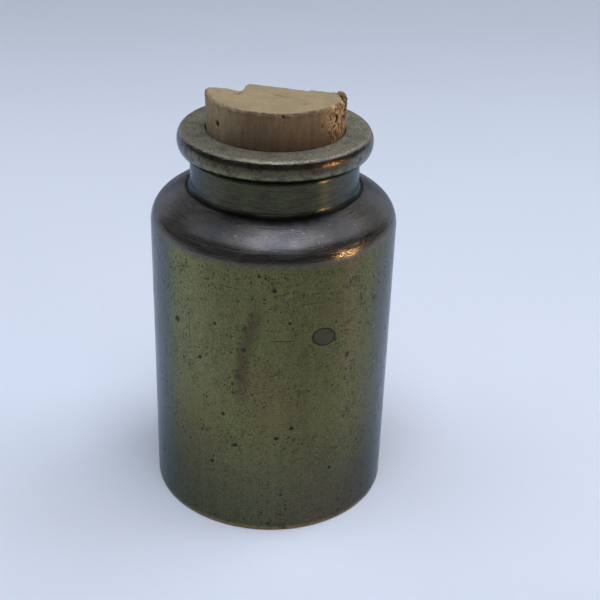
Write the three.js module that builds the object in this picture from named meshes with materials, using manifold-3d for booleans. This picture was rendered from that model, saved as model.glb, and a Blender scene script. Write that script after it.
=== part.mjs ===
// Needle case: a small turned-brass bottle with a cork stopper, and needles standing inside.
// Millimetres, +Z up. The origin is the centre of the base, on the surface the case stands on.
import * as THREE from 'three';
import { mergeVertices } from 'three/addons/utils/BufferGeometryUtils.js';
import Module from 'manifold-3d';

const wasm = await Module();
wasm.setup();

// ---- driving dimensions ----
const TURN_STEPS = 48; // facets round every turned piece

const BODY_RADIUS = 16;
const WALL = 1.2;
const SIDE_TOP = 39.05; // where the straight side ends and the shoulder starts
const SHOULDER_RADIUS = 3.55;
const SHOULDER_TILT = THREE.MathUtils.degToRad(54.5); // the lean at which the shoulder becomes a dome
const DOME_RADIUS = 20; // of the nearly flat part that rises to the collar
const BASE_EDGE = 0.25; // rounding of the bottom rim

const DISC_THICKNESS = 1.2;
const SEAM = 0.06; // play between pieces that are soldered together
const DISC_SEAM = 0.15;

const BORE_RADIUS = 8.9;
const COLLAR_FOOT_RADIUS = 11.25;
const COLLAR_BOTTOM = 40.6;
const NECK_RADIUS = 10.85;
const NECK_TOP = 48.1;
const NECK_EDGE = 0.12; // rounding of the neck's top edge

const UNDERCUT_RADIUS = 10.45;
const LIP_RADIUS = 12.45;
const LIP_BOTTOM = 48.4;
const LIP_WIDEST = 50.05; // height of the widest point
const LIP_TOP = 51.5;
const LIP_BULGE = 0.9; // how far the rounded edge stands out from the flat top
const LIP_UNDER_BULGE = 1.1; // and from the flat underside
const MOUTH_EDGE = 0.35; // rounding where the mouth meets the flat top

const CORK_MOUTH_RADIUS = 8.65; // cork radius level with the top of the lip
const CORK_TAPER = 0.043; // gain in radius per millimetre of height
const CORK_BOTTOM = 44.7;
const CORK_TOP = 56.25;
const CORK_EDGE = 0.25;
const BREAK_FLOOR = 52.3; // height of the broken ledge at the back of the cork
// The broken edge across the cork's top, from -X to +X. What lies behind it is gone.
const BREAK_LINE = [
  [-10, 0.2], [-7.2, 0.4], [-4.3, -0.5], [-3.5, 2.3], [1.7, 0.7], [4.0, -0.2], [4.4, 0.3], [10, -0.1],
];

// One row for each needle: length, shank radius, X at the point, X at the eye, Y at the point, Y at the eye.
const NEEDLES = [
  [36, 0.36, -6.4, -5.2, 11.3, 12.7],
  [39, 0.42, -3.6, -2.4, 11.4, 13.8],
  [34, 0.32, -0.4, 0.6, 11.5, 13.9],
  [38, 0.4, 2.6, 3.4, 11.3, 13.6],
  [35, 0.34, 6.0, 5.2, 11.4, 12.9],
];
const NEEDLE_POINT = 4; // length of the tapered point
const NEEDLE_FLOOR_GAP = 0.1;
const NEEDLE_STEPS = 10;
const EYE_LENGTH = 1.7;
const EYE_SHARE = 0.45; // the eye's width as a share of the shank's
const EYE_BELOW_TOP = 1.6;

// ---- materials ----
const brass = new THREE.MeshStandardMaterial({ color: 0x6d6a3c, metalness: 1, roughness: 0.32 });
const wornBrass = new THREE.MeshStandardMaterial({ color: 0x6a5f48, metalness: 1, roughness: 0.42 });
const cork = new THREE.MeshStandardMaterial({ color: 0xa98560, metalness: 0, roughness: 0.9 });
const steel = new THREE.MeshStandardMaterial({ color: 0xc9ccd0, metalness: 1, roughness: 0.22 });

// ---- helpers ----
const at = (radius, height) => new THREE.Vector2(radius, height);

// Points round an ellipse in the profile plane, both ends included.
function arc(centre, radiusOut, radiusUp, from, to, steps) {
  const points = [];
  for (let i = 0; i <= steps; i++) {
    const angle = from + ((to - from) * i) / steps;
    points.push(at(centre.x + radiusOut * Math.cos(angle), centre.y + radiusUp * Math.sin(angle)));
  }
  return points;
}

// A profile turned about +Z. It runs up its outer side, so its faces point out.
function turned(profile, steps = TURN_STEPS) {
  return new THREE.LatheGeometry(profile, steps).rotateX(Math.PI / 2);
}

function ring(profile) {
  return turned([...profile, profile[0].clone()]);
}

function toSolid(geometry) {
  const bare = geometry.clone();
  bare.deleteAttribute('normal');
  bare.deleteAttribute('uv');
  const merged = mergeVertices(bare, 1e-5);
  const vertProperties = new Float32Array(merged.attributes.position.array);
  const triVerts = new Uint32Array(merged.index.array);
  return new wasm.Manifold(new wasm.Mesh({ numProp: 3, vertProperties, triVerts }));
}

function toGeometry(solid) {
  const mesh = solid.getMesh();
  const geometry = new THREE.BufferGeometry();
  geometry.setAttribute('position', new THREE.BufferAttribute(mesh.vertProperties, 3));
  geometry.setIndex(new THREE.BufferAttribute(mesh.triVerts, 1));
  geometry.computeVertexNormals();
  return geometry;
}

function cut(geometry, cutter) {
  return toGeometry(toSolid(geometry).subtract(toSolid(cutter)));
}

function part(name, geometry, material) {
  const mesh = new THREE.Mesh(geometry, material);
  mesh.name = name;
  return mesh;
}

// ---- pieces ----
// The shoulder's outer surface moved in by an inset: a tight bend, then a dome up to the given radius.
function shoulder(inset, endRadius) {
  const bendCentre = at(BODY_RADIUS - SHOULDER_RADIUS, SIDE_TOP);
  const reach = DOME_RADIUS - SHOULDER_RADIUS;
  const domeCentre = at(
    bendCentre.x - reach * Math.cos(SHOULDER_TILT),
    bendCentre.y - reach * Math.sin(SHOULDER_TILT),
  );
  const bend = SHOULDER_RADIUS - inset;
  const dome = DOME_RADIUS - inset;
  const endTilt = Math.acos((endRadius - domeCentre.x) / dome);
  return {
    endTilt,
    points: [
      ...arc(bendCentre, bend, bend, 0, SHOULDER_TILT, 7),
      ...arc(domeCentre, dome, dome, SHOULDER_TILT, endTilt, 3).slice(1),
    ],
  };
}

// The drawn tube, closed in at the top by a shoulder that rises to the collar's hole.
function bodyShell() {
  const holeRadius = COLLAR_FOOT_RADIUS + SEAM;
  return ring([
    at(BODY_RADIUS - WALL, 0),
    ...arc(at(BODY_RADIUS - BASE_EDGE, BASE_EDGE), BASE_EDGE, BASE_EDGE, -Math.PI / 2, 0, 3),
    ...shoulder(0, holeRadius).points,
    ...shoulder(WALL, holeRadius).points.reverse(),
  ]);
}

function baseDisc() {
  const radius = BODY_RADIUS - WALL - DISC_SEAM;
  return turned([at(0, 0), at(radius, 0), at(radius, DISC_THICKNESS), at(0, DISC_THICKNESS)]);
}

// The turned neck. Its foot fills the shoulder's hole, and a small fillet runs up from there to the neck.
function neckCollar() {
  const { endTilt, points } = shoulder(0, COLLAR_FOOT_RADIUS);
  const foot = points[points.length - 1];
  const fillet = (COLLAR_FOOT_RADIUS - NECK_RADIUS) / (1 - Math.cos(endTilt));
  const filletCentre = at(NECK_RADIUS + fillet, foot.y + fillet * Math.sin(endTilt));
  return ring([
    at(BORE_RADIUS, COLLAR_BOTTOM),
    at(COLLAR_FOOT_RADIUS, COLLAR_BOTTOM),
    ...arc(filletCentre, fillet, fillet, Math.PI + endTilt, Math.PI, 5),
    ...arc(at(NECK_RADIUS - NECK_EDGE, NECK_TOP - NECK_EDGE), NECK_EDGE, NECK_EDGE, 0, Math.PI / 2, 2),
    at(BORE_RADIUS, NECK_TOP),
  ]);
}

// The lip: a rounded ring with a flat top, on a narrower foot that leaves an undercut above the neck.
function lipRing() {
  const topCentre = at(LIP_RADIUS - LIP_BULGE, LIP_WIDEST);
  const underCentre = at(LIP_RADIUS - LIP_UNDER_BULGE, LIP_WIDEST);
  const mouthCentre = at(BORE_RADIUS + MOUTH_EDGE, LIP_TOP - MOUTH_EDGE);
  return ring([
    at(BORE_RADIUS, NECK_TOP + SEAM),
    at(UNDERCUT_RADIUS, NECK_TOP + SEAM),
    at(UNDERCUT_RADIUS, LIP_BOTTOM),
    ...arc(underCentre, LIP_UNDER_BULGE, LIP_WIDEST - LIP_BOTTOM, -Math.PI / 2, 0, 6),
    ...arc(topCentre, LIP_BULGE, LIP_TOP - LIP_WIDEST, 0, Math.PI / 2, 6).slice(1),
    ...arc(mouthCentre, MOUTH_EDGE, MOUTH_EDGE, Math.PI / 2, Math.PI, 3),
  ]);
}

// The tapered cork, with the back of its top broken off above the lip.
function corkStopper() {
  const radiusAt = (height) => CORK_MOUTH_RADIUS + CORK_TAPER * (height - LIP_TOP);
  const whole = turned([
    at(0, CORK_BOTTOM),
    at(radiusAt(CORK_BOTTOM) - CORK_EDGE, CORK_BOTTOM),
    at(radiusAt(CORK_BOTTOM), CORK_BOTTOM + CORK_EDGE),
    at(radiusAt(CORK_TOP), CORK_TOP - CORK_EDGE),
    at(radiusAt(CORK_TOP) - CORK_EDGE, CORK_TOP),
    at(0, CORK_TOP),
  ]);
  const behind = BODY_RADIUS;
  const outline = [...BREAK_LINE, [behind, behind], [-behind, behind]].map(([x, y]) => at(x, y));
  const missing = new THREE.ExtrudeGeometry(new THREE.Shape(outline), { depth: behind, bevelEnabled: false });
  return cut(whole, missing.translate(0, 0, BREAK_FLOOR));
}

// A needle along +Z from its point at the origin, with an eye cut through near the top.
function needle(length, radius) {
  const shank = turned([
    at(0, 0),
    at(radius * 0.55, NEEDLE_POINT * 0.4),
    at(radius, NEEDLE_POINT),
    at(radius, length - radius),
    at(radius * 0.7, length - radius * 0.3),
    at(0, length),
  ], NEEDLE_STEPS);
  const slot = new THREE.Shape();
  const halfWidth = radius * EYE_SHARE;
  const halfRun = EYE_LENGTH / 2 - halfWidth;
  slot.absarc(0, halfRun, halfWidth, 0, Math.PI, false);
  slot.absarc(0, -halfRun, halfWidth, Math.PI, 2 * Math.PI, false);
  const depth = 4 * radius; // twice the shank's width, so the slot comes out on both sides
  const eye = new THREE.ExtrudeGeometry(slot, { depth, bevelEnabled: false, curveSegments: 3 });
  eye.translate(0, 0, -depth / 2).rotateX(Math.PI / 2).translate(0, 0, length - EYE_BELOW_TOP);
  return cut(shank, eye);
}

// ---- assembly ----
const needleCase = new THREE.Group();
needleCase.add(part('body_shell', bodyShell(), brass));
needleCase.add(part('base_disc', baseDisc(), brass));
needleCase.add(part('neck_collar', neckCollar(), brass));
needleCase.add(part('lip_ring', lipRing(), wornBrass));
needleCase.add(part('cork_stopper', corkStopper(), cork));

NEEDLES.forEach(([length, radius, pointX, eyeX, pointY, eyeY], index) => {
  const mesh = part(`needle_${index + 1}`, needle(length, radius), steel);
  const run = Math.hypot(eyeX - pointX, eyeY - pointY);
  const rise = Math.sqrt(length * length - run * run);
  const lean = new THREE.Vector3(eyeX - pointX, eyeY - pointY, rise).normalize();
  mesh.quaternion.setFromUnitVectors(new THREE.Vector3(0, 0, 1), lean);
  mesh.position.set(pointX, pointY, DISC_THICKNESS + NEEDLE_FLOOR_GAP);
  needleCase.add(mesh);
});

export default needleCase;
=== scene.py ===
"""Looks for the needle case: tarnished brass, a dry broken cork, steel needles and a pale table.

Everything is in the CAD frame, in metres. Sizes below are in millimetres and are turned into
metres where the geometry is made. Angles round the case are in degrees from -Y towards +X.
"""
import math
import random

import bmesh
import bpy
import numpy as np
from mathutils import Matrix, Vector, noise


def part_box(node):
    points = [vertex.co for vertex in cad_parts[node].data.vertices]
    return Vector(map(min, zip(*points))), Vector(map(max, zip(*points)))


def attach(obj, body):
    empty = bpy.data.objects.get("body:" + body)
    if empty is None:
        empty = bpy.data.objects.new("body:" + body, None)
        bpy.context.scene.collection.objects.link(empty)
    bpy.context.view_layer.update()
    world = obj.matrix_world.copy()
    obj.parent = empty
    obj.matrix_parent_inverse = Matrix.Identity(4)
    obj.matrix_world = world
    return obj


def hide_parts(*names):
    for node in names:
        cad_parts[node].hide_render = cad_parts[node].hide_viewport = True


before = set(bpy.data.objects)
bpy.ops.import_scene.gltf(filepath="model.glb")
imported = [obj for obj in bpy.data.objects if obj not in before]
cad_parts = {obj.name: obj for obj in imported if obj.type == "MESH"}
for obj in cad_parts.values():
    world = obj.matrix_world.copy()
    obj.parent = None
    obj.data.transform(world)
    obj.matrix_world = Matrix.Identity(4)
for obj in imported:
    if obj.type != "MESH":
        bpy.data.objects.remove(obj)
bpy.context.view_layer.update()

MM = 0.001


# ---------------------------------------------------------------- sizes from the frame
def extent(node):
    """(widest radius, lowest height, highest height) of a turned node, in millimetres."""
    low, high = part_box(node)
    return high.x / MM, low.z / MM, high.z / MM


BODY_R = extent("body_shell")[0]
DISC_R, _, DISC_TOP = extent("base_disc")
FOOT_R, COLLAR_BOTTOM, NECK_TOP = extent("neck_collar")
LIP_R, LIP_FOOT, LIP_TOP = extent("lip_ring")
CORK_R, CORK_BOTTOM, CORK_TOP = extent("cork_stopper")

# Sizes inside the turned sections, in millimetres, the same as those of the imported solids.
WALL = 1.2
SIDE_TOP = 39.05
BEND_R = 3.55
BEND_TILT = math.radians(54.5)
DOME_R = 20
NECK_R = 10.85
BORE_R = 8.9
UNDERCUT_R = 10.45
LIP_BOTTOM = 48.4
LIP_WIDEST = 50.05
LIP_BULGE = 0.9
LIP_UNDER_BULGE = 1.1
CORK_MOUTH_R = 8.65
CORK_TAPER = 0.043


# ---------------------------------------------------------------- camera
CAMERA_AT = Vector((0, -138.9, 102.1)) * MM
CAMERA_TURN = math.radians(1.557)   # to the right of +Y
CAMERA_DOWN = math.radians(28.49)
CAMERA_ROLL = math.radians(1.839)
CAMERA_LENS = 69.73   # millimetres
CAMERA_SENSOR = 36


def make_camera():
    data = bpy.data.cameras.new("camera")
    data.lens = CAMERA_LENS
    data.sensor_width = CAMERA_SENSOR
    data.clip_start = 0.01
    camera = bpy.data.objects.new("camera", data)
    bpy.context.scene.collection.objects.link(camera)
    forward = Vector((
        math.sin(CAMERA_TURN) * math.cos(CAMERA_DOWN),
        math.cos(CAMERA_TURN) * math.cos(CAMERA_DOWN),
        -math.sin(CAMERA_DOWN),
    ))
    level = Vector((math.cos(CAMERA_TURN), -math.sin(CAMERA_TURN), 0))
    upright = level.cross(forward)
    right = math.cos(CAMERA_ROLL) * level + math.sin(CAMERA_ROLL) * upright
    up = math.cos(CAMERA_ROLL) * upright - math.sin(CAMERA_ROLL) * level
    turn = Matrix((right, up, -forward)).transposed()
    camera.matrix_world = Matrix.Translation(CAMERA_AT) @ turn.to_4x4()
    bpy.context.scene.camera = camera


def polar(degrees, radius, height):
    """The place at that angle round the case, from -Y towards +X."""
    turn = math.radians(degrees)
    return Vector((radius * math.sin(turn), -radius * math.cos(turn), height))


# ---------------------------------------------------------------- shader helpers
class Shader:
    """One material's node tree, with short calls for the nodes that it uses."""

    def __init__(self, name):
        self.material = bpy.data.materials.new(name)
        self.material.use_nodes = True
        self.tree = self.material.node_tree
        self.surface = self.tree.nodes["Principled BSDF"]
        place = self.tree.nodes.new("ShaderNodeTexCoord")
        self.point = self.vector("SCALE", place.outputs["Object"], scale=1 / MM)
        parts = self.tree.nodes.new("ShaderNodeSeparateXYZ")
        self.tree.links.new(self.point, parts.inputs[0])
        self.x, self.y, self.z = parts.outputs

    def put(self, socket, value):
        if isinstance(value, bpy.types.NodeSocket):
            self.tree.links.new(value, socket)
        elif value is not None:
            socket.default_value = value

    def math(self, operation, a, b=None):
        node = self.tree.nodes.new("ShaderNodeMath")
        node.operation = operation
        for socket, value in zip(node.inputs, (a, b)):
            self.put(socket, value)
        return node.outputs[0]

    def plus(self, a, b):
        return self.math("ADD", a, b)

    def minus(self, a, b):
        return self.math("SUBTRACT", a, b)

    def times(self, a, b):
        return self.math("MULTIPLY", a, b)

    def away(self, value, centre):
        """How far a number is from centre, either way."""
        return self.math("ABSOLUTE", self.minus(value, centre))

    def vector(self, operation, a, b=None, scale=None):
        node = self.tree.nodes.new("ShaderNodeVectorMath")
        node.operation = operation
        self.put(node.inputs[0], a)
        self.put(node.inputs[1], b)
        if scale is not None:
            self.put(node.inputs["Scale"], scale)
        return node.outputs["Value" if operation in ("LENGTH", "DISTANCE", "DOT_PRODUCT") else "Vector"]

    def join(self, x, y, z):
        node = self.tree.nodes.new("ShaderNodeCombineXYZ")
        for socket, value in zip(node.inputs, (x, y, z)):
            self.put(socket, value)
        return node.outputs[0]

    def stretch(self, x, y, z):
        """The place in millimetres, scaled along each axis."""
        return self.vector("MULTIPLY", self.point, (x, y, z))

    def noise(self, vector, scale, detail=2.0, roughness=0.5, distortion=0.0):
        node = self.tree.nodes.new("ShaderNodeTexNoise")
        self.put(node.inputs["Vector"], vector)
        node.inputs["Scale"].default_value = scale
        node.inputs["Detail"].default_value = detail
        node.inputs["Roughness"].default_value = roughness
        node.inputs["Distortion"].default_value = distortion
        return node.outputs["Fac"]

    def cells(self, vector, scale):
        """(distance to the nearest cell centre, a random number for that cell)."""
        node = self.tree.nodes.new("ShaderNodeTexVoronoi")
        self.put(node.inputs["Vector"], vector)
        node.inputs["Scale"].default_value = scale
        split = self.tree.nodes.new("ShaderNodeSeparateColor")
        self.tree.links.new(node.outputs["Color"], split.inputs[0])
        return node.outputs["Distance"], split.outputs[0]

    def ease(self, value, low, high, start=0.0, end=1.0):
        """Goes smoothly from start, where value is low, to end, where it is high."""
        node = self.tree.nodes.new("ShaderNodeMapRange")
        node.interpolation_type = "SMOOTHSTEP"
        for name, number in zip(("From Min", "From Max", "To Min", "To Max"), (low, high, start, end)):
            self.put(node.inputs[name], number)
        self.put(node.inputs["Value"], value)
        return node.outputs["Result"]

    def mix(self, share, a, b):
        node = self.tree.nodes.new("ShaderNodeMix")
        node.data_type = "RGBA"
        self.put(node.inputs[0], share)
        for socket, value in zip((node.inputs[6], node.inputs[7]), (a, b)):
            self.put(socket, (*value, 1.0) if isinstance(value, tuple) else value)
        return node.outputs[2]

    def shade(self, colour, factor):
        """The colour made lighter or darker by a number that varies."""
        return self.vector("SCALE", colour, scale=factor)

    def bump(self, height, strength, distance, normal=None):
        node = self.tree.nodes.new("ShaderNodeBump")
        node.inputs["Strength"].default_value = strength
        node.inputs["Distance"].default_value = distance * MM
        self.put(node.inputs["Height"], height)
        self.put(node.inputs["Normal"], normal)
        return node.outputs[0]

    def attribute(self, name):
        node = self.tree.nodes.new("ShaderNodeAttribute")
        node.attribute_name = name
        return node.outputs["Fac"]

    def finish(self, colour, roughness, normal=None, metallic=0.0, coat=0.0, rim=(1.0, 1.0, 1.0)):
        self.surface.inputs["Coat Weight"].default_value = coat
        self.surface.inputs["Coat Roughness"].default_value = 0.16
        self.surface.inputs["Specular Tint"].default_value = (*rim, 1.0)
        self.put(self.surface.inputs["Base Color"], colour)
        self.put(self.surface.inputs["Roughness"], roughness)
        self.put(self.surface.inputs["Normal"], normal)
        self.put(self.surface.inputs["Metallic"], metallic)
        return self.material

    # ---- marks on a turned surface, placed by angle and height
    def angle(self):
        """Degrees round the case from -Y towards +X."""
        front = self.times(self.y, -1.0)
        return self.math("DEGREES", self.math("ARCTAN2", self.x, front))

    def radius(self):
        return self.vector("LENGTH", self.stretch(1, 1, 0))

    def dot(self, degrees, height, size, soft=0.35, ragged=None):
        """1 inside a round spot on the wall, 0 outside it. ragged adds to the distance."""
        far = self.vector("DISTANCE", self.point, polar(degrees, BODY_R, height))
        if ragged is not None:
            far = self.plus(far, self.times(ragged, size))
        return self.ease(far, size * (1 + soft), size * (1 - soft))

    def level_line(self, degrees, height, half_span, half_width, slope=0.0):
        """1 along a scratch round the wall. slope is in millimetres of height per degree."""
        turn = self.minus(self.angle(), degrees)
        level = self.plus(height, self.times(turn, slope))
        off = self.away(self.z, level)
        span = self.ease(self.math("ABSOLUTE", turn), half_span, half_span * 0.5)
        return self.times(self.ease(off, half_width, 0.0), span)

    def upright_line(self, degrees, low, high, half_width):
        """1 along a scratch that runs up the wall, half_width in degrees."""
        off = self.away(self.angle(), degrees)
        span = self.times(self.ease(self.z, low, low + 1.0), self.ease(self.z, high, high - 1.0))
        return self.times(self.ease(off, half_width, 0.0), span)

    def specks(self, per_mm, share, size, crowd):
        """Small round specks: cells per millimetre, the share of cells with one, radius in mm."""
        far, chance = self.cells(self.point, per_mm)
        reach = self.times(self.ease(chance, 1 - share, 1.0, 0.0, size * per_mm), crowd)
        soft = 0.05 * per_mm
        return self.ease(self.minus(far, reach), soft, -soft)

    def either(self, masks):
        total = masks[0]
        for mask in masks[1:]:
            total = self.math("MAXIMUM", total, mask)
        return total


# ---------------------------------------------------------------- mesh helpers
def arc(centre, out, up, start, end, steps):
    """Points (radius, height) round an ellipse, both ends included."""
    turns = np.linspace(start, end, steps + 1)
    return [(centre[0] + out * math.cos(t), centre[1] + up * math.sin(t)) for t in turns]


def line(a, b, spacing):
    """Points from a to b, without b, about spacing apart."""
    steps = max(1, round(math.dist(a, b) / spacing))
    return [(a[0] + (b[0] - a[0]) * i / steps, a[1] + (b[1] - a[1]) * i / steps) for i in range(steps)]


def mesh_object(name, points, faces):
    mesh = bpy.data.meshes.new(name)
    mesh.from_pydata((np.asarray(points) * MM).tolist(), [], faces)
    mesh.shade_smooth()
    piece = bpy.data.objects.new(name, mesh)
    bpy.context.scene.collection.objects.link(piece)
    return piece


def lathe(name, profile, steps, swell=None):
    """A profile that closes on itself, turned about +Z. It runs up its outer side.

    swell(angle, radius, height) moves each point out from the axis by that many millimetres."""
    profile = np.array(profile)
    turns = np.arange(steps) * 2 * math.pi / steps
    turn, radius = np.meshgrid(turns, profile[:, 0], indexing="ij")
    height = np.broadcast_to(profile[:, 1], turn.shape)
    if swell is not None:
        radius = radius + swell(turn, radius, height)
    points = np.stack([radius * np.sin(turn), -radius * np.cos(turn), height], -1).reshape(-1, 3)
    count = len(profile)
    faces = []
    for i in range(steps):
        here, there = i * count, (i + 1) % steps * count
        for j in range(count):
            k = (j + 1) % count
            faces.append((here + j, there + j, there + k, here + k))
    return mesh_object(name, points, faces)


def place(piece, body, slot, material, *nodes):
    piece.data.materials.append(material)
    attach(piece, body)
    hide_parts(*nodes)


# ---------------------------------------------------------------- brass
DULL_RIM = (0.60, 0.66, 0.74)   # how tarnish tints the glancing reflection

# Marks on the wall, placed by degrees and height, with sizes in millimetres.
# Corrosion pits that stand out: degrees, height, size.
PITS = [
    (1, 36.5, 0.24), (8, 32, 0.2), (-26, 31, 0.2), (-48, 29.5, 0.4), (-12, 28, 0.25), (-34, 25.5, 0.25),
    (-22, 18, 0.25), (10, 16.5, 0.3), (3, 15, 0.3), (-16, 13.5, 0.28), (-28, 10, 0.25), (30, 9, 0.25),
]
# Brown-grey blotches that run down left of the middle, and one low on the right: degrees, height, size.
BLOTCHES = [(-9, 33, 0.5), (-12, 31, 0.6), (-13, 28, 0.5), (-15, 24, 0.9), (-17, 21.5, 0.5), (36, 3, 0.7)]
# Scratches round the wall: degrees, height, half the span in degrees, half-width, slope.
LEVEL_SCRATCHES = [(5, 29.5, 7, 0.10), (-19, 36.5, 6.5, 0.07, -0.02), (19, 34.5, 7, 0.06), (-32, 34, 3, 0.05)]
# Scratches up the wall: degrees, lowest, highest, half-width in degrees.
UPRIGHT_SCRATCH = (-40, 26.5, 31, 0.35)
BRIGHT_SCRATCHES = [(-17, 26, 31, 0.25), (-16, 25.5, 30.5, 0.2)]
# The dried drop: degrees, height, half-width, half-height, rise for each millimetre across.
DROP_TURN, DROP_HEIGHT, DROP_OUT, DROP_UP, DROP_TILT = 24, 29.5, 1.58, 1.24, 0.12


def wall_colour(s, cloud, grain):
    """Old lacquer over brass: yellow-green on the left, browner on the right and low down, with painted shade
    that darkens the lower wall.
    """
    angle = s.angle()
    hue = s.noise(s.stretch(1, 1, 0.6), 0.13, 3.0, 0.55)
    wall = s.mix(s.ease(hue, 0.40, 0.60), (0.140, 0.135, 0.054), (0.143, 0.125, 0.054))
    green = s.times(s.ease(angle, -12, -38), s.ease(s.z, 8, 30))
    wall = s.mix(s.times(green, 0.85), wall, (0.178, 0.182, 0.083))
    edge = s.ease(s.plus(angle, s.times(cloud, 8.0)), -42, -56)
    wall = s.mix(edge, wall, (0.124, 0.134, 0.104))
    right = s.ease(angle, 42, 62)
    wall = s.mix(right, wall, (0.140, 0.134, 0.086))
    wall = s.shade(wall, s.ease(s.away(angle, 20), 20, 5, 1.0, 0.84))
    band = s.ease(s.away(s.plus(angle, s.times(cloud, 6.0)), 41.0), 6.0, 1.0)
    band = s.times(band, s.ease(s.z, 10, 20))
    wall = s.mix(s.times(band, 0.4), wall, (0.165, 0.125, 0.072))
    # Painted shade: the wall darker towards the bottom, standing in for the contact shadow that it reflects.
    low = s.ease(s.plus(s.z, s.times(cloud, 7.0)), 23, 6)
    wall = s.mix(s.times(low, 0.85), wall, (0.074, 0.076, 0.044))
    brown = s.times(s.ease(s.plus(s.z, s.times(cloud, 8.0)), 17, 4), s.ease(angle, -20, 35))
    wall = s.mix(s.times(brown, 0.7), wall, (0.092, 0.070, 0.048))
    wall = s.mix(s.times(s.ease(s.z, 0.8, 0.2), 0.8), wall, (0.30, 0.20, 0.10))
    streak = s.noise(s.stretch(1, 1, 0.04), 2.2, 2.0, 0.5)
    smudge = s.ease(s.noise(s.stretch(1, 1, 0.7), 0.95, 4.0, 0.72, 0.3), 0.50, 0.66)
    wall = s.mix(s.times(smudge, 0.34), wall, (0.040, 0.038, 0.022))
    tone = s.times(s.ease(grain, 0.32, 0.68, 0.70, 1.28), s.ease(streak, 0.3, 0.7, 0.96, 1.04))
    return s.shade(wall, tone)


def shoulder_colour(s, cloud, streaks):
    """Dull brown-grey with fine lines round it and dirt next to the neck, with painted light and shade:
    warmer to the right, darker in front and on the upper dome, lighter along the bend and at the sides.
    """
    satin = s.mix(s.ease(cloud, 0.38, 0.62), (0.082, 0.071, 0.060), (0.062, 0.058, 0.055))
    # Painted light: warmer to the right, where the warm lamp's glow falls.
    satin = s.mix(s.times(s.ease(s.angle(), 20, 60), 0.6), satin, (0.112, 0.084, 0.058))
    aside = s.away(s.angle(), 3.0)
    front = s.ease(aside, 62, 42)
    # Painted shade: the upper dome and the front darker, so that the overhead light's highlight stays a
    # narrow band.
    for patch, darkening in ((s.ease(s.z, 42.0, 43.2), 0.28), (s.ease(aside, 10, 32), 0.42)):
        satin = s.shade(satin, s.minus(1.0, s.times(s.times(patch, front), darkening)))
    # Painted light: the bend at the shoulder's foot lighter, most at the sides, lifting the dark reflection
    # there.
    bend = s.times(s.ease(s.z, 41.4, 40.8), s.ease(aside, 12, 34, 0.75, 2.7))
    satin = s.shade(satin, s.plus(1.0, bend))
    # Painted light: the shoulder lighter and greyer towards its sides.
    satin = s.mix(s.times(s.ease(aside, 30, 66), 0.85), satin, (0.170, 0.145, 0.117))
    satin = s.shade(satin, s.ease(streaks, 0.3, 0.7, 0.78, 1.22))
    satin = s.shade(satin, s.ease(s.noise(s.point, 5.5, 3.0, 0.75), 0.3, 0.7, 0.72, 1.28))
    dust = s.specks(2.2, 0.35, 0.09, 1.0)
    satin = s.mix(s.times(dust, 0.45), satin, (0.40, 0.38, 0.34))
    # Black dirt at the foot of the neck, with painted shade: near-black and widest at the front.
    return s.mix(s.times(foot_dirt_and_shade(s), 0.93), satin, (0.006, 0.005, 0.0045))


def foot_dirt_and_shade(s):
    """1 where black dirt has settled at the foot of the neck, with painted shade that makes it widest at the
    front, facing the camera.
    """
    ragged = s.times(s.noise(s.point, 0.9, 3.0, 0.6), 0.8)
    reach = s.ease(s.away(s.angle(), 3.0), 48, 5, -0.4, 0.35)
    out = s.minus(s.minus(s.radius(), FOOT_R), s.plus(ragged, reach))
    return s.ease(out, 0.6, -0.5)


def corrosion(s, colour):
    """Specks scattered by cells, blotches, and the pits that stand out."""
    crowd = s.ease(s.noise(s.point, 0.22, 3.0, 0.6), 0.38, 0.62, 0.25, 1.0)
    below = s.ease(s.z, SIDE_TOP + 0.6, SIDE_TOP - 0.6)
    fine = s.times(s.specks(2.6, 0.95, 0.18, crowd), below)
    coarse = s.times(s.specks(1.25, 0.7, 0.23, crowd), below)
    colour = s.mix(s.times(fine, 0.72), colour, (0.036, 0.036, 0.020))
    colour = s.mix(s.times(coarse, 0.66), colour, (0.020, 0.022, 0.022))
    ragged = s.noise(s.point, 1.6, 3.0, 0.6)
    blotches = s.either([s.dot(*blotch, 0.5, ragged) for blotch in BLOTCHES])
    colour = s.mix(s.times(blotches, 0.85), colour, (0.046, 0.038, 0.033))
    pits = s.either([s.dot(*pit) for pit in PITS])
    colour = s.mix(s.times(pits, 0.85), colour, (0.013, 0.013, 0.017))
    return colour, ragged, [pits, coarse]


def brown_run(s, colour, cloud):
    """A brown run down the wall beside the blotches."""
    course = s.plus(-14.5, s.ease(s.z, 26, 34, 0.0, 6.0))
    course = s.plus(course, s.times(cloud, 3.0))
    span = s.times(s.ease(s.z, 18, 24.5), s.ease(s.z, 34.5, 32.0))
    run = s.times(s.ease(s.away(s.angle(), course), 4.5, 0.5), span)
    return s.mix(s.times(run, 0.6), colour, (0.078, 0.052, 0.034))


def dried_drop(s, colour, cloud, ragged):
    """A dried drop with a dark rim, and a smaller ragged spot below it."""
    across = s.times(s.minus(s.angle(), DROP_TURN), math.radians(1) * BODY_R)
    rise = s.plus(s.minus(s.z, DROP_HEIGHT), s.times(across, DROP_TILT))
    shares = s.join(s.math("DIVIDE", across, DROP_OUT), 0.0, s.math("DIVIDE", rise, DROP_UP))
    oval = s.vector("LENGTH", shares)
    rim = s.times(s.ease(oval, 1.08, 1.0), s.ease(oval, 0.84, 0.95))
    grey = s.shade((0.070, 0.060, 0.043), s.ease(cloud, 0.3, 0.7, 0.8, 1.1))
    colour = s.mix(s.times(s.ease(oval, 1.0, 0.9), 0.9), colour, grey)
    colour = s.mix(s.times(rim, 0.9), colour, (0.018, 0.015, 0.011))
    spot = s.dot(37, 26, 0.75, 0.2, ragged)
    return s.mix(s.times(spot, 0.8), colour, (0.030, 0.026, 0.028)), rim


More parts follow.
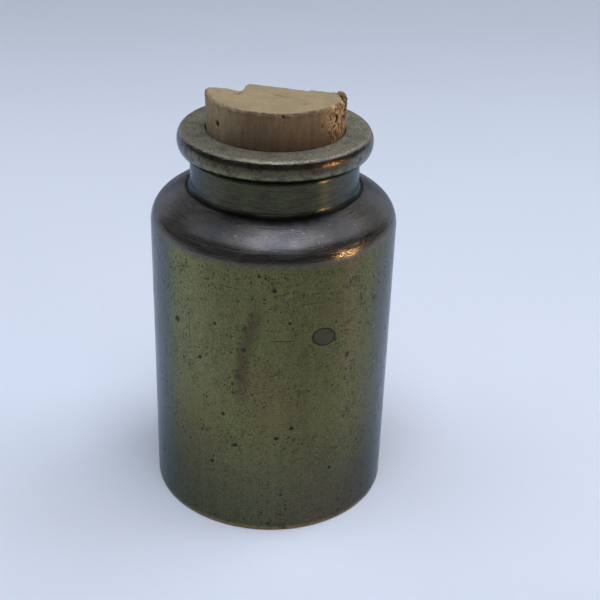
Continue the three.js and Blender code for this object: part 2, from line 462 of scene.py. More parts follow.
def scratches(s, colour):
    dark = [s.level_line(*scratch) for scratch in LEVEL_SCRATCHES]
    scratch = s.either(dark + [s.upright_line(*UPRIGHT_SCRATCH)])
    colour = s.mix(s.times(scratch, 0.75), colour, (0.026, 0.026, 0.012))
    bright = s.either([s.upright_line(*scratch) for scratch in BRIGHT_SCRATCHES])
    return s.mix(s.times(bright, 0.5), colour, (0.22, 0.19, 0.06)), scratch


def body_material():
    s = Shader("tarnished_brass_body")
    cloud = s.noise(s.stretch(1, 1, 0.8), 0.32, 4.0, 0.6, 0.4)
    grain = s.noise(s.point, 4.5, 3.0, 0.7)
    streaks = turning_lines(s, 5.0)
    shoulder_mask = s.ease(s.plus(s.z, s.times(grain, 0.8)), SIDE_TOP + 0.55, SIDE_TOP + 1.4)
    colour = s.mix(shoulder_mask, wall_colour(s, cloud, grain), shoulder_colour(s, cloud, streaks))
    colour, ragged, specks = corrosion(s, colour)
    colour = brown_run(s, colour, cloud)
    colour, rim = dried_drop(s, colour, cloud, ragged)
    colour, scratch = scratches(s, colour)

    rough = s.ease(cloud, 0.3, 0.7, 0.20, 0.28)
    dome = s.ease(s.plus(s.z, s.times(cloud, 0.8)), SIDE_TOP + 1.5, SIDE_TOP + 2.7)
    satin = s.plus(s.ease(streaks, 0.38, 0.62, -0.12, 0.02), s.times(dome, 0.16))
    rough = s.plus(rough, s.times(shoulder_mask, satin))
    rough = s.plus(rough, s.times(s.times(foot_dirt_and_shade(s), shoulder_mask), 0.4))
    marks = s.either(specks + [scratch, s.times(rim, 0.5)])
    rough = s.plus(rough, s.times(marks, 0.25))
    normal = s.bump(s.noise(s.point, 5.0, 3.0, 0.65), 0.14, 0.02)
    normal = s.bump(s.times(streaks, shoulder_mask), 0.7, 0.05, normal)
    normal = s.bump(s.minus(1.0, marks), 0.5, 0.05, normal)
    return s.finish(colour, rough, normal, 1.0, 0.12, DULL_RIM)


def turning_lines(s, per_mm):
    """Fine lines round a turned piece: some run all the way round, most are a few millimetres long."""
    across = s.minus(s.z, s.radius())
    lines = s.noise(s.join(0.0, 0.0, across), per_mm, 3.0, 0.65)
    turn = s.vector("NORMALIZE", s.stretch(1, 1, 0))
    short = s.vector("ADD", s.vector("SCALE", turn, scale=0.9), s.join(0.0, 0.0, across))
    broken = s.noise(short, per_mm, 3.0, 0.7)
    return s.plus(s.times(lines, 0.3), s.times(broken, 0.7))


def neck_material():
    s = Shader("tarnished_brass_neck")
    lines = turning_lines(s, 6.0)
    cloud = s.noise(s.point, 0.35, 3.0, 0.6)
    colour = s.mix(s.ease(cloud, 0.38, 0.62), (0.074, 0.080, 0.042), (0.074, 0.068, 0.046))
    aside = s.math("ABSOLUTE", s.angle())
    # Painted reflection: the neck lighter and bluer towards its sides.
    colour = s.mix(s.times(s.ease(aside, 25, 65), 0.8), colour, (0.108, 0.116, 0.100))
    colour = s.shade(colour, s.ease(lines, 0.3, 0.7, 0.66, 1.34))
    colour = s.shade(colour, s.ease(s.noise(s.point, 5.5, 3.0, 0.7), 0.3, 0.7, 0.82, 1.18))
    # Painted highlight: a lighter band on the bead at the top of the neck.
    painted_bead_highlight = s.ease(s.z, NECK_TOP - 0.55, NECK_TOP - 0.15)
    colour = s.mix(s.times(painted_bead_highlight, 0.6), colour, (0.115, 0.110, 0.080))
    # Black dirt at the neck's foot, with painted shade: full strength at the front, half at the sides.
    dirt_and_shade = s.ease(s.plus(s.z, s.times(cloud, 0.3)), 44.40, 44.05)
    dirt_and_shade = s.times(dirt_and_shade, s.ease(aside, 65, 25, 0.5, 1.0))
    colour = s.mix(dirt_and_shade, colour, (0.014, 0.0125, 0.011))
    rough = s.plus(s.ease(cloud, 0.3, 0.7, 0.21, 0.26), s.times(dirt_and_shade, 0.4))
    normal = s.bump(lines, 0.4, 0.04)
    around = s.tree.nodes.new("ShaderNodeTangent")
    around.direction_type, around.axis = "RADIAL", "Z"
    s.put(s.surface.inputs["Tangent"], around.outputs[0])
    s.surface.inputs["Anisotropic"].default_value = 0.9
    s.surface.inputs["Anisotropic Rotation"].default_value = 0.25
    return s.finish(colour, rough, normal, 1.0, 0.0, DULL_RIM)


def lip_material():
    s = Shader("worn_lip_brass")
    grain = s.noise(s.point, 4.2, 4.0, 0.78)
    fine = s.noise(s.point, 7.0, 2.0, 0.6)
    cloud = s.noise(s.point, 0.45, 4.0, 0.65)
    top = s.ease(s.plus(s.z, s.times(cloud, 0.3)), LIP_TOP - 0.3, LIP_TOP + 0.05)
    side = s.mix(s.ease(cloud, 0.40, 0.60), (0.116, 0.108, 0.068), (0.104, 0.074, 0.052))
    # Painted reflection: a lighter olive band low on the lip's round, where it mirrors the table.
    side = s.mix(s.times(s.ease(s.z, 50.0, 49.4), 0.75), side, (0.180, 0.180, 0.098))
    # Painted light: the lip's round lighter and greyer towards its sides.
    aside = s.ease(s.math("ABSOLUTE", s.angle()), 38, 62)
    side = s.mix(s.times(aside, 0.85), side, (0.250, 0.235, 0.195))
    mottle = s.ease(s.noise(s.point, 1.1, 4.0, 0.7), 0.47, 0.60)
    side = s.mix(s.times(mottle, 0.6), side, (0.036, 0.030, 0.026))
    side = s.shade(side, s.ease(grain, 0.32, 0.68, 0.65, 1.35))
    flat = s.mix(s.ease(grain, 0.36, 0.64), (0.086, 0.076, 0.048), (0.285, 0.245, 0.155))
    flat = s.mix(s.times(s.ease(fine, 0.58, 0.70), 0.55), flat, (0.46, 0.42, 0.31))
    flat = s.mix(s.times(s.ease(cloud, 0.47, 0.62), 0.45), flat, (0.062, 0.058, 0.050))
    # Painted light: the flat top lighter towards the right.
    flat = s.shade(flat, s.ease(s.angle(), 0, 50, 1.0, 1.22))
    colour = s.mix(top, side, flat)
    worn = s.times(s.ease(s.z, LIP_TOP - 0.65, LIP_TOP - 0.4), s.ease(s.z, LIP_TOP - 0.05, LIP_TOP - 0.3))
    scuff = s.times(worn, s.ease(s.noise(s.stretch(0.5, 0.5, 3.0), 1.8, 3.0, 0.7), 0.55, 0.68))
    colour = s.mix(s.times(scuff, 0.7), colour, (0.45, 0.42, 0.36))
    rough = s.plus(s.ease(cloud, 0.3, 0.7, 0.16, 0.27), s.times(top, 0.32))
    metal = s.ease(top, 0, 1, 1.0, 0.35)
    normal = s.bump(grain, 0.35, 0.05)
    return s.finish(colour, rough, normal, metal, 0.1, DULL_RIM)


def base_material():
    s = Shader("brass_base")
    ring = s.noise(s.join(s.radius(), 0.0, s.z), 4.0, 3.0, 0.65)
    cloud = s.noise(s.point, 0.3, 3.0, 0.6)
    colour = s.mix(s.ease(cloud, 0.35, 0.65), (0.16, 0.135, 0.060), (0.10, 0.085, 0.050))
    colour = s.shade(colour, s.ease(ring, 0.3, 0.7, 0.8, 1.2))
    normal = s.bump(ring, 0.4, 0.04)
    return s.finish(colour, s.ease(cloud, 0.3, 0.7, 0.3, 0.45), normal, 1.0)


def uneven(turn, radius, height):
    """The slight unevenness of drawn and spun brass, in millimetres."""
    wave = 0.012 * np.sin(3 * turn + 0.09 * height + 0.6) + 0.008 * np.sin(7 * turn - 0.17 * height)
    return wave * (radius > BODY_R - 2.5 * WALL)


def shoulder(inset, end_radius, bend_steps, dome_steps):
    """The shoulder's outline moved in by inset, from the side up to end_radius, and its last lean."""
    bend_centre = (BODY_R - BEND_R, SIDE_TOP)
    reach = DOME_R - BEND_R
    dome_centre = (
        bend_centre[0] - reach * math.cos(BEND_TILT),
        bend_centre[1] - reach * math.sin(BEND_TILT),
    )
    bend, dome = BEND_R - inset, DOME_R - inset
    end = math.acos((end_radius - dome_centre[0]) / dome)
    points = arc(bend_centre, bend, bend, 0, BEND_TILT, bend_steps)
    points += arc(dome_centre, dome, dome, BEND_TILT, end, dome_steps)[1:]
    return points, end


def body_shell():
    edge = 0.25
    brim = 0.06
    hole = FOOT_R + 0.03
    outer, _ = shoulder(0, hole + brim, 28, 16)
    inner, _ = shoulder(WALL, hole, 8, 6)
    profile = arc((BODY_R - WALL + edge, edge), edge, edge, math.pi, 1.5 * math.pi, 4)
    profile += arc((BODY_R - edge, edge), edge, edge, -math.pi / 2, 0, 6)
    profile += line((BODY_R, edge), (BODY_R, SIDE_TOP), 0.6)[1:]
    profile += outer
    profile += [(hole + brim * 0.3, outer[-1][1] - brim * 0.2), (hole, outer[-1][1] - brim)]
    profile += inner[::-1]
    profile += line((BODY_R - WALL, SIDE_TOP), (BODY_R - WALL, edge), 3.0)[1:]
    return lathe("brass_body", profile, 320, uneven)


def base_disc():
    edge = 0.12
    flat = DISC_R - edge
    profile = [(0.02, 0.0)] + line((0.4, 0), (flat, 0), 0.8)
    profile += arc((flat, edge), edge, edge, -math.pi / 2, 0, 3)
    profile += arc((flat, DISC_TOP - edge), edge, edge, 0, math.pi / 2, 3)
    profile += line((flat, DISC_TOP), (0.4, DISC_TOP), 1.5)[1:] + [(0.02, DISC_TOP)]
    return lathe("brass_base", profile, 160)


def neck_collar():
    points, tilt = shoulder(0, FOOT_R, 8, 8)
    foot_top = points[-1][1]
    fillet = (FOOT_R - NECK_R) / (1 - math.cos(tilt))
    centre = (NECK_R + fillet, foot_top + fillet * math.sin(tilt))
    bead_out, bead_up = 0.22, 0.48
    profile = [(BORE_R, COLLAR_BOTTOM), (FOOT_R, COLLAR_BOTTOM)]
    profile += line((FOOT_R, COLLAR_BOTTOM), (FOOT_R, foot_top - 0.05), 1.0)[1:] + [(FOOT_R, foot_top - 0.05)]
    profile += arc(centre, fillet, fillet, math.pi + tilt, math.pi, 16)
    profile += line((NECK_R, centre[1]), (NECK_R, NECK_TOP - bead_up), 0.25)[1:]
    profile += arc((NECK_R - bead_out, NECK_TOP - bead_up), bead_out, bead_up, 0, math.pi / 2, 10)
    profile += [(UNDERCUT_R - 0.3, NECK_TOP), (BORE_R, NECK_TOP)]
    profile += line((BORE_R, NECK_TOP), (BORE_R, COLLAR_BOTTOM), 1.0)[1:]
    return lathe("brass_neck", profile, 288)


def lip_ring():
    bore = BORE_R - 0.05
    mouth = 0.16
    fillet = 0.1
    under = (LIP_R - LIP_UNDER_BULGE, LIP_WIDEST)
    over = (LIP_R - LIP_BULGE, LIP_WIDEST)
    profile = [(bore, LIP_FOOT), (UNDERCUT_R, LIP_FOOT)]
    profile += [(UNDERCUT_R, LIP_BOTTOM - fillet), (UNDERCUT_R + fillet * 0.3, LIP_BOTTOM - fillet * 0.3)]
    profile += line((UNDERCUT_R + fillet, LIP_BOTTOM), (under[0], LIP_BOTTOM), 0.3)
    profile += arc(under, LIP_UNDER_BULGE, LIP_WIDEST - LIP_BOTTOM, -math.pi / 2, 0, 20)
    profile += arc(over, LIP_BULGE, LIP_TOP - LIP_WIDEST, 0, math.pi / 2, 20)[1:]
    profile += line((over[0], LIP_TOP), (bore + mouth, LIP_TOP), 0.25)[1:]
    profile += arc((bore + mouth, LIP_TOP - mouth), mouth, mouth, math.pi / 2, math.pi, 6)
    profile += line((bore, LIP_TOP - mouth), (bore, LIP_FOOT), 0.8)[1:]
    return lathe("brass_lip", profile, 320)


# ---------------------------------------------------------------- cork
# The broken edge of the cork's top, from -X to +X. What is behind it is gone.
BREAK_LINE = [
    (-10, 0.2), (-7.2, 0.4), (-6, 0.1), (-4.5, -0.5), (-4.1, -0.3), (-3.9, 1.3), (-3.4, 2.3), (-0.8, 1.7),
    (1.7, 0.7), (3.9, -0.2), (4.3, 0.4), (6.9, -0.3), (8, 0.2), (10, -0.6),
]
BREAK_FLOOR = 52.3
CORK_VOXEL = 0.13   # spacing of the cork's mesh

# Open pores: where, half-width, half-length up the cork, and depth, all in millimetres.
PORES = [
    (polar(-54, 8.75, 53.5), 0.36, 0.44, 0.7),
    (polar(6, 8.85, 55.75), 0.19, 0.22, 0.3),
    (polar(58, 8.8, 54.25), 0.42, 0.70, 1.0),
    (polar(55, 8.8, 53.5), 0.26, 0.30, 0.4),
    (polar(51, 8.8, 54.0), 0.20, 0.24, 0.35),
    (polar(40, 8.8, 54.0), 0.16, 0.34, 0.3),
    (polar(68, 8.8, 52.75), 0.26, 0.36, 0.5),
    (Vector((3.5, -5.0, CORK_TOP)), 0.42, 0.22, 0.35),
    (Vector((-7.25, -1.0, CORK_TOP)), 0.30, 0.18, 0.2),
]

# Cracks: half-width, depth, and the points that each one runs through.
CRACKS = [
    (0.24, 0.75, [
        Vector((7.25, 0.25, CORK_TOP)), Vector((8.0, -1.5, CORK_TOP)), Vector((8.25, -3.0, CORK_TOP)),
        polar(71, 8.8, 55.5), polar(75, 8.8, 54.5), polar(71, 8.75, 53.5), polar(68, 8.7, 52.5),
    ]),
    (0.14, 0.45, [polar(63, 8.8, 56.0), polar(66, 8.8, 55.25), polar(64, 8.8, 54.25), polar(66, 8.8, 53.25)]),
    (0.12, 0.30, [polar(50, 8.8, 55.5), polar(48, 8.8, 55.0), polar(50, 8.8, 54.5)]),
    (0.13, 0.30, [Vector((-0.5, -1.5, CORK_TOP)), Vector((1.25, -2.75, CORK_TOP))]),
    (0.18, 0.35, [
        Vector((-4.0, -0.25, CORK_TOP)), Vector((-4.75, -2.0, CORK_TOP)), Vector((-5.25, -1.5, CORK_TOP)),
    ]),
]
SPONGY_FROM, SPONGY_TO = 44, 54   # degrees over which the smooth side turns into open bark


def cork_radius(height):
    """The taper, with a slight swelling level with the mouth."""
    swelling = 0.09 * math.exp(-(((height - LIP_TOP) / 1.5) ** 2))
    return CORK_MOUTH_R + CORK_TAPER * (height - LIP_TOP) + swelling


def cork_blank():
    """The whole tapered cork, before it is broken."""
    edge = 0.42
    profile = arc((cork_radius(CORK_BOTTOM) - edge, CORK_BOTTOM + edge), edge, edge, -math.pi / 2, 0, 4)
    heights = np.linspace(CORK_BOTTOM + edge, CORK_TOP - edge, 28)[1:-1]
    profile += [(cork_radius(height), height) for height in heights]
    profile += arc((cork_radius(CORK_TOP) - edge, CORK_TOP - edge), edge, edge, 0, math.pi / 2, 5)
    steps = 160
    points = [(0, 0, CORK_BOTTOM)]
    for radius, height in profile:
        points += [polar(360 * i / steps, radius, height) for i in range(steps)]
    points.append((0, 0, CORK_TOP))
    faces = [(0, 1 + (i + 1) % steps, 1 + i) for i in range(steps)]
    for j in range(len(profile) - 1):
        below, above = 1 + j * steps, 1 + (j + 1) * steps
        for i in range(steps):
            k = (i + 1) % steps
            faces.append((below + i, below + k, above + k, above + i))
    rim = 1 + (len(profile) - 1) * steps
    faces += [(rim + i, rim + (i + 1) % steps, len(points) - 1) for i in range(steps)]
    return mesh_object("cork", points, faces)


def ripple(x, y, z, scale, seed):
    return noise.fractal(Vector((x + seed, y, z)) * scale, 0.9, 2.1, 4)


def cork_break():
    """The solid that is missing from the back of the cork: a ragged front face, floor, back and lid."""
    xs = [point[0] for point in BREAK_LINE]
    ys = [point[1] for point in BREAK_LINE]
    top, back = CORK_TOP + 2, 16
    across = np.linspace(-11, 11, 121)
    width = len(across)

    def floor_at(x, y):
        return BREAK_FLOOR - 0.35 + 0.05 * y + 0.5 * ripple(x, y, 0, 0.35, 7)

    def front_at(x, share):
        low = floor_at(x, 0)
        z = low + share * (top - low)
        y = np.interp(x, xs, ys) + 0.16 * ripple(x, z * 0.5, 0, 0.9, 3) + 0.25 * (1 - share)
        return (x, y, z)

    points = []
    for share in np.linspace(1, 0, 32):
        points += [front_at(x, share) for x in across]
    for depth in np.linspace(0, 14, 50)[1:]:
        for x in across:
            y = front_at(x, 0)[1] + depth
            points.append((x, y, floor_at(x, depth)))
    points += [(x, back + 2, top) for x in across]
    rows = len(points) // width
    faces = []
    for j in range(rows):
        here, there = j * width, (j + 1) % rows * width
        faces += [(here + i, there + i, there + i + 1, here + i + 1) for i in range(width - 1)]
    faces.append(tuple(j * width for j in range(rows)))
    faces.append(tuple(j * width + width - 1 for j in range(rows))[::-1])
    return mesh_object("cork_break", points, faces)


def point_outwards(piece):
    mesh = bmesh.new()
    mesh.from_mesh(piece.data)
    bmesh.ops.recalc_face_normals(mesh, faces=mesh.faces)
    mesh.to_mesh(piece.data)
    mesh.free()


def apply_modifiers(piece):
    graph = bpy.context.evaluated_depsgraph_get()
    mesh = bpy.data.meshes.new_from_object(piece.evaluated_get(graph))
    piece.modifiers.clear()
    piece.data = mesh


def vertex_numbers(collection, name, count):
    """A per-vertex vector property as an array with three columns."""
    values = np.empty(count * 3)
    collection.foreach_get(name, values)
    return values.reshape(-1, 3)


def smooth_step(value, low, high):
    share = np.clip((value - low) / (high - low), 0, 1)
    return share * share * (3 - 2 * share)


def pore_depth(places, centre, size, length, deep):
    away = places - np.array(centre)
    if abs(centre.z - CORK_TOP) < 0.05:
        far = np.sqrt((away[:, 0] / size) ** 2 + (away[:, 1] / length) ** 2 + (away[:, 2] / 0.6) ** 2)
    else:
        far = np.sqrt((np.hypot(away[:, 0], away[:, 1]) / size) ** 2 + (away[:, 2] / length) ** 2)
    return deep * smooth_step(-far, -1.1, -0.35)


def crack_depth(places, wander, half_width, deep, points):
    """A groove along the points, whose sides wander in and out."""
    nearest = np.full(len(places), 9.0)
    for start, end in zip(points, points[1:]):
        a, span = np.array(start), np.array(end - start)
        share = np.clip((places - a) @ span / (span @ span), 0, 1)
        nearest = np.minimum(nearest, np.linalg.norm(places - a - share[:, None] * span, axis=1))
    return deep * smooth_step(-nearest - wander * half_width, -1.1 * half_width, -0.2 * half_width)


def random_pores():
    rng = random.Random(11)
    pores = []
    for _ in range(170):
        height, size = rng.uniform(CORK_BOTTOM, CORK_TOP), rng.uniform(0.05, 0.13)
        where = polar(rng.uniform(-180, 180), cork_radius(height), height)
        pores.append((where, size, size * rng.uniform(1.2, 3), size))
    for _ in range(45):
        height, size = rng.uniform(LIP_TOP, CORK_TOP), rng.uniform(0.07, 0.2)
        where = polar(rng.uniform(SPONGY_FROM, 110), cork_radius(height), height)
        pores.append((where, size, size * rng.uniform(1.0, 1.8), size * 1.3))
    for _ in range(60):
        size = rng.uniform(0.05, 0.15)
        where = polar(rng.uniform(-180, 180), 8.4 * math.sqrt(rng.random()), CORK_TOP)
        pores.append((where, size, size, size * 0.8))
    return pores


def round_off(places, centre, radius):
    """Rounds the cork's upper right corner, seen along Y, to that radius."""
    across, up = places[:, 0] - centre.x, places[:, 2] - centre.z
    reach = np.hypot(across, up)
    outside = (across > 0) & (up > 0) & (reach > radius)
    share = np.where(outside, radius / np.maximum(reach, radius), 1.0)
    places[:, 0] = centre.x + across * share
    places[:, 2] = centre.z + up * share


def carve(piece):
    """Gives the cork its pores, cracks and grain, and stores numbers that its material reads."""
    mesh = piece.data
    count = len(mesh.vertices)
    places = vertex_numbers(mesh.vertices, "co", count) / MM
    normals = vertex_numbers(mesh.vertex_normals, "vector", count)
    x, y, z = places.T
    outer = np.array([cork_radius(height) for height in z])
    degrees = np.degrees(np.arctan2(x, -y))
    inset = outer - np.hypot(x, y)
    broken = smooth_step(inset, 0.15, 0.4) * smooth_step(-z, 0.25 - CORK_TOP, 0.6 - CORK_TOP)
    broken *= smooth_step(z, CORK_BOTTOM + 3, CORK_BOTTOM + 4)
    wander = np.array([noise.fractal(place, 0.8, 2.2, 3) for place in map(Vector, places * 1.3)])
    bark = smooth_step(degrees + 4 * wander, SPONGY_FROM, SPONGY_TO) * smooth_step(-degrees, -125, -112)
    bark *= smooth_step(-inset, -0.5, -0.1)
    spongy = np.maximum(broken, bark)

    depth = np.zeros(count)
    for pore in PORES + random_pores():
        depth = np.maximum(depth, pore_depth(places, *pore))
    for half_width, deep, points in CRACKS:
        depth = np.maximum(depth, crack_depth(places, wander, half_width, deep, points))
    below = CORK_TOP - z
    rim = smooth_step(inset - below, -0.7, -0.2) * smooth_step(-inset + below, -0.7, -0.2)
    rim *= smooth_step(z, CORK_TOP - 0.5, CORK_TOP - 0.2)
    chips = rim * smooth_step(wander, 0.0, 0.5) * 0.22
    lumps = np.array([noise.fractal(place, 0.7, 2.3, 4) for place in map(Vector, places * (2.2, 2.2, 1.1))])
    waves = np.array([noise.noise(place) for place in map(Vector, places * 0.45)])
    grain = np.array([noise.fractal(place, 0.8, 2.2, 4) for place in map(Vector, places * (1.9, 1.9, 0.35))])
    free = smooth_step(z, LIP_TOP + 0.05, LIP_TOP + 0.6)
    relief = 0.02 * grain + 0.14 * free * spongy * lumps + 0.012 * lumps
    relief += 0.10 * (waves - 0.4) * smooth_step(z, CORK_TOP - 0.3, CORK_TOP - 0.05)
    moved = places - normals * (depth + chips - relief)[:, None]
    round_off(moved, Vector((8.05, 0, 55.45)), 0.72)
    mesh.vertices.foreach_set("co", (moved * MM).ravel())
    # The material paints the pores, cracks and rim chips near-black from this number: painted shade.
    store(mesh, "depth", np.clip(depth / 0.3 + chips, 0, 1))
    store(mesh, "spongy", spongy)
    # Painted shade in the hollows between the bark's lumps, read by the cork material.
    store(mesh, "hollow_shade", np.clip(0.5 - lumps, 0, 1))
    store(mesh, "flake", smooth_step(x + 0.27 * y + 0.1 * wander, 7.5, 7.7) * smooth_step(z, 52.8, 53.6))
    mesh.update()


def store(mesh, name, values):
    mesh.attributes.new(name, "FLOAT", "POINT").data.foreach_set("value", values.astype(np.float32))


def cork_material():
    s = Shader("dry_cork")
    grain = s.noise(s.stretch(1, 1, 0.10), 1.9, 5.0, 0.65, 0.2)
    fine = s.noise(s.stretch(1, 1, 0.35), 5.0, 3.0, 0.7)
    cells = s.noise(s.point, 3.5, 4.0, 0.7)
    cloud = s.noise(s.point, 0.25, 3.0, 0.55)
    angle = s.angle()
    top = s.ease(s.plus(s.radius(), s.times(cells, 0.5)), CORK_R, CORK_R - 0.2)
    top = s.times(top, s.ease(s.z, CORK_TOP - 0.4, CORK_TOP - 0.1))
    # Painted light and shade: the cork's side dark at the front, lighter on the left, and lightest and
    # warmest on the right, where more light falls.
    front = s.mix(s.ease(grain, 0.32, 0.68), (0.150, 0.090, 0.042), (0.210, 0.134, 0.064))
    left = s.mix(s.ease(grain, 0.32, 0.68), (0.285, 0.200, 0.105), (0.370, 0.268, 0.145))
    right = s.mix(s.ease(grain, 0.32, 0.68), (0.350, 0.200, 0.080), (0.470, 0.310, 0.140))
    side = s.mix(s.ease(angle, -18, -58), front, left)
    # Painted shade: the right side darker low down, near the lip.
    right = s.shade(right, s.ease(s.z, LIP_TOP + 0.5, 54.8, 0.50, 1.0))
    side = s.mix(s.ease(angle, 30, 58), side, right)
    # Painted shade: the side darker low down and a little lighter high up.
    low = s.ease(angle, -62, -15, 0.82, 0.62)
    rise = s.times(s.ease(s.z, LIP_TOP, 55.2), s.minus(1.10, low))
    side = s.shade(side, s.plus(low, rise))
    side = s.shade(side, s.ease(fine, 0.3, 0.7, 0.88, 1.12))
    face = s.mix(s.ease(cells, 0.35, 0.7), (0.325, 0.226, 0.104), (0.395, 0.290, 0.146))
    face = s.mix(s.ease(cloud, 0.45, 0.62), face, (0.310, 0.226, 0.114))
    bands = s.noise(s.stretch(0.35, 1, 1), 1.3, 4.0, 0.7, 0.5)
    face = s.shade(face, s.ease(bands, 0.3, 0.7, 0.93, 1.08))
    # Painted shade: the side darker just below the rounded top edge.
    rim = s.ease(s.z, CORK_TOP - 0.75, CORK_TOP - 0.3, 1.0, 0.70)
    colour = s.mix(top, s.shade(side, rim), face)
    hollow_shade = s.attribute("hollow_shade")
    # Bark and flake darker in the hollows: painted shade.
    bark = s.mix(s.ease(hollow_shade, 0.35, 0.75), (0.620, 0.420, 0.195), (0.210, 0.085, 0.024))
    # Painted shade: the bark darker low down, near the lip.
    bark = s.shade(bark, s.ease(s.z, LIP_TOP + 0.3, 54.2, 0.55, 1.0))
    colour = s.mix(s.times(s.attribute("spongy"), 0.8), colour, bark)
    flake = s.mix(s.ease(hollow_shade, 0.35, 0.75), (0.215, 0.105, 0.042), (0.080, 0.033, 0.012))
    colour = s.mix(s.times(s.attribute("flake"), 0.85), colour, flake)
    # Painted shade: pores, cracks and chips near-black inside.
    depth = s.attribute("depth")
    colour = s.mix(s.ease(depth, 0.15, 0.9), colour, (0.028, 0.013, 0.006))
    normal = s.bump(cells, 0.35, 0.08)
    normal = s.bump(grain, 0.25, 0.10, normal)
    return s.finish(colour, 0.85, normal)


def cork_stopper():
    cork = cork_blank()
    missing = cork_break()
    point_outwards(cork)
    point_outwards(missing)
    cut = cork.modifiers.new("cut", "BOOLEAN")
    cut.operation, cut.solver, cut.object = "DIFFERENCE", "EXACT", missing
    remesh = cork.modifiers.new("remesh", "REMESH")
    remesh.mode, remesh.voxel_size, remesh.use_smooth_shade = "VOXEL", CORK_VOXEL * MM, True
    apply_modifiers(cork)
    bpy.data.objects.remove(missing)
    carve(cork)
    return cork


# ---------------------------------------------------------------- needles
# One row for each needle: length, shank radius, X at the point, X at the eye, Y at the point, Y at the eye.
NEEDLES = [
    (36, 0.36, -6.4, -5.2, 11.3, 12.7),
    (39, 0.42, -3.6, -2.4, 11.4, 13.8),
    (34, 0.32, -0.4, 0.6, 11.5, 13.9),
    (38, 0.4, 2.6, 3.4, 11.3, 13.6),
    (35, 0.34, 6.0, 5.2, 11.4, 12.9),
]
NEEDLE_POINT = 4   # length of the tapered point
NEEDLE_FLOOR_GAP = 0.1
EYE_LENGTH = 1.7
EYE_SHARE = 0.45   # the eye's width as a share of the shank's
EYE_BELOW_TOP = 1.6


def turned_solid(name, profile, steps):
    """An open profile that starts and ends on the axis, turned about +Z."""
    inner = profile[1:-1]
    points = [(0, 0, profile[0][1])]
    for radius, height in inner:
        points += [polar(360 * i / steps, radius, height) for i in range(steps)]
    points.append((0, 0, profile[-1][1]))
    faces = []
    for i in range(steps):
        k = (i + 1) % steps
        faces.append((0, 1 + k, 1 + i))
        for j in range(len(inner) - 1):
            low, high = 1 + j * steps, 1 + (j + 1) * steps
            faces.append((low + i, low + k, high + k, high + i))
        last = 1 + (len(inner) - 1) * steps
        faces.append((last + i, last + k, len(points) - 1))
    return mesh_object(name, points, faces)


def eye_cutter(length, radius):
    """A long rounded slot that passes through the needle near its top."""
    half_width, half_run, reach = EYE_SHARE * radius, EYE_LENGTH / 2, 2 * radius
    outline = []
    for centre, start in ((half_run - half_width, 0), (half_width - half_run, math.pi)):
        for t in np.linspace(start, start + math.pi, 9):
            outline.append((half_width * math.cos(t), centre + half_width * math.sin(t)))
    middle = length - EYE_BELOW_TOP
    count = len(outline)
    points = [(x, -reach, middle + z) for x, z in outline] + [(x, reach, middle + z) for x, z in outline]
    faces = [tuple(range(count)), tuple(range(2 * count - 1, count - 1, -1))]
    faces += [(i, i + count, (i + 1) % count + count, (i + 1) % count) for i in range(count)]
    return mesh_object("eye", points, faces)


def needle(name, length, radius, point_x, eye_x, point_y, eye_y):
    shares = np.linspace(0.01, 1, 12)
    profile = [(0, 0)] + [(radius * (1 - (1 - t) ** 2) ** 0.5, NEEDLE_POINT * t) for t in shares]
    profile += [(radius, length - radius), (radius * 0.92, length - radius * 0.6)]
    profile += [(radius * 0.65, length - radius * 0.22), (0, length)]
    piece = turned_solid(name, profile, 20)
    slot = eye_cutter(length, radius)
    point_outwards(piece)
    point_outwards(slot)
    cut = piece.modifiers.new("cut", "BOOLEAN")
    cut.operation, cut.solver, cut.object = "DIFFERENCE", "EXACT", slot
    apply_modifiers(piece)
    bpy.data.objects.remove(slot)
    run = math.hypot(eye_x - point_x, eye_y - point_y)
    lean = Vector((eye_x - point_x, eye_y - point_y, math.sqrt(length ** 2 - run ** 2)))
    turn = Vector((0, 0, 1)).rotation_difference(lean).to_matrix().to_4x4()
    point = Vector((point_x, point_y, DISC_TOP + NEEDLE_FLOOR_GAP)) * MM
    piece.data.transform(Matrix.Translation(point) @ turn)
    return piece


def steel_material():
    s = Shader("needle_steel")
    fine = s.noise(s.stretch(1, 1, 0.05), 8.0, 2.0, 0.6)
    rust = s.ease(s.noise(s.point, 0.8, 4.0, 0.7), 0.56, 0.66)
    colour = s.mix(s.times(rust, 0.5), (0.60, 0.61, 0.63), (0.20, 0.13, 0.09))
    rough = s.plus(s.ease(fine, 0.3, 0.7, 0.16, 0.28), s.times(rust, 0.3))
    return s.finish(colour, rough, s.bump(fine, 0.1, 0.02), 1.0)


# ---------------------------------------------------------------- room
def area_light(name, azimuth, elevation, distance, size, watts, colour, spread=180):
    """A light aimed at the case: distance and size in metres, azimuth from -Y towards +X."""
    target = Vector((0, 0, 25)) * MM
    out = polar(azimuth, math.cos(math.radians(elevation)), math.sin(math.radians(elevation)))
    data = bpy.data.lights.new(name, "AREA")
    data.shape, data.size, data.size_y = "RECTANGLE", size[0], size[1]
    data.energy, data.color = watts, colour
    data.spread = math.radians(spread)
    light = bpy.data.objects.new(name, data)
    light.location = target + out * distance
    light.rotation_euler = (-out).to_track_quat("-Z", "Y").to_euler()
    bpy.context.scene.collection.objects.link(light)


COOL = (0.90, 1.0, 1.22)
WARM = (1.0, 0.62, 0.25)
ROOM_LIGHT = (0.100, 0.106, 0.118)   # what the room adds to the light and the reflections
ROOM_SEEN = (0.60, 0.65, 0.80)       # what the camera sees beyond the table


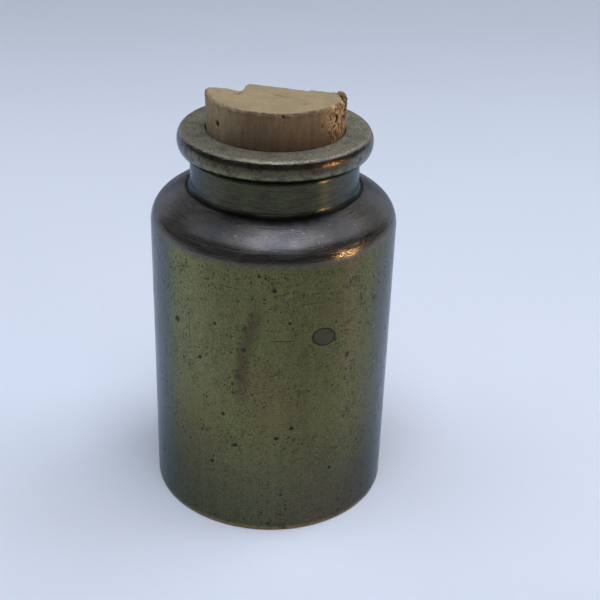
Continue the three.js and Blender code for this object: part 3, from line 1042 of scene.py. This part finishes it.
def make_lights():
    area_light("overhead", 6, 78, 0.60, (0.36, 0.34), 2.0, COOL)
    area_light("right_window", 108, 58, 0.60, (0.30, 0.30), 1.0, COOL)
    area_light("left_window", -95, 60, 0.60, (0.30, 0.30), 0.54, COOL)
    area_light("back_left", -142, 13, 0.70, (0.34, 0.30), 0.22, COOL)
    area_light("back_right", 142, 13, 0.70, (0.34, 0.30), 0.22, COOL)
    area_light("lamp", 66, 7, 0.50, (0.024, 0.024), 0.0085, WARM, 30)
    area_light("lamp_glow", 72, 9, 0.50, (0.22, 0.22), 0.0080, WARM, 30)


def make_world():
    world = bpy.data.worlds.new("room")
    world.use_nodes = True
    bpy.context.scene.world = world
    nodes, links = world.node_tree.nodes, world.node_tree.links
    ground = nodes["Background"]
    sight = nodes.new("ShaderNodeLightPath")
    pick = nodes.new("ShaderNodeMix")
    pick.data_type = "RGBA"
    links.new(sight.outputs["Is Camera Ray"], pick.inputs[0])
    pick.inputs[6].default_value = (*ROOM_LIGHT, 1)
    pick.inputs[7].default_value = (*ROOM_SEEN, 1)
    links.new(pick.outputs[2], ground.inputs["Color"])


def make_table():
    half = 4.0   # metres
    corners = [(-half, -half, 0), (half, -half, 0), (half, half, 0), (-half, half, 0)]
    mesh = bpy.data.meshes.new("table")
    mesh.from_pydata(corners, [], [(0, 1, 2, 3)])
    table = bpy.data.objects.new("table", mesh)
    bpy.context.scene.collection.objects.link(table)
    s = Shader("pale_table")
    cloud = s.noise(s.point, 0.02, 3.0, 0.5)
    colour = s.mix(cloud, (0.79, 0.80, 0.81), (0.83, 0.84, 0.85))
    # Painted shadow: the table darker towards the camera.
    colour = s.shade(colour, s.ease(s.y, -18, -62, 1.0, 0.82))
    # Painted shade: the table darker far behind the case.
    colour = s.shade(colour, s.ease(s.y, 60, 260, 1.0, 0.88))
    # Painted light: the table glows more the farther it is from the case, from 250 mm out.
    s.surface.inputs["Emission Color"].default_value = (0.46, 0.50, 0.62, 1.0)
    s.put(s.surface.inputs["Emission Strength"], s.ease(s.radius(), 250, 1100))
    table.data.materials.append(s.finish(colour, 0.7))


# ---------------------------------------------------------------- build
bpy.context.scene.view_settings.view_transform = "Standard"
make_camera()
make_lights()
make_world()
make_table()

place(body_shell(), "case", "tarnished_brass", body_material(), "body_shell")
place(base_disc(), "case", "tarnished_brass", base_material(), "base_disc")
place(neck_collar(), "case", "tarnished_brass", neck_material(), "neck_collar")
place(lip_ring(), "case", "worn_lip_brass", lip_material(), "lip_ring")
place(cork_stopper(), "stopper", "cork", cork_material(), "cork_stopper")
steel = steel_material()
for number, row in enumerate(NEEDLES, 1):
    place(needle(f"steel_needle_{number}", *row), "case", "needle_steel", steel, f"needle_{number}")
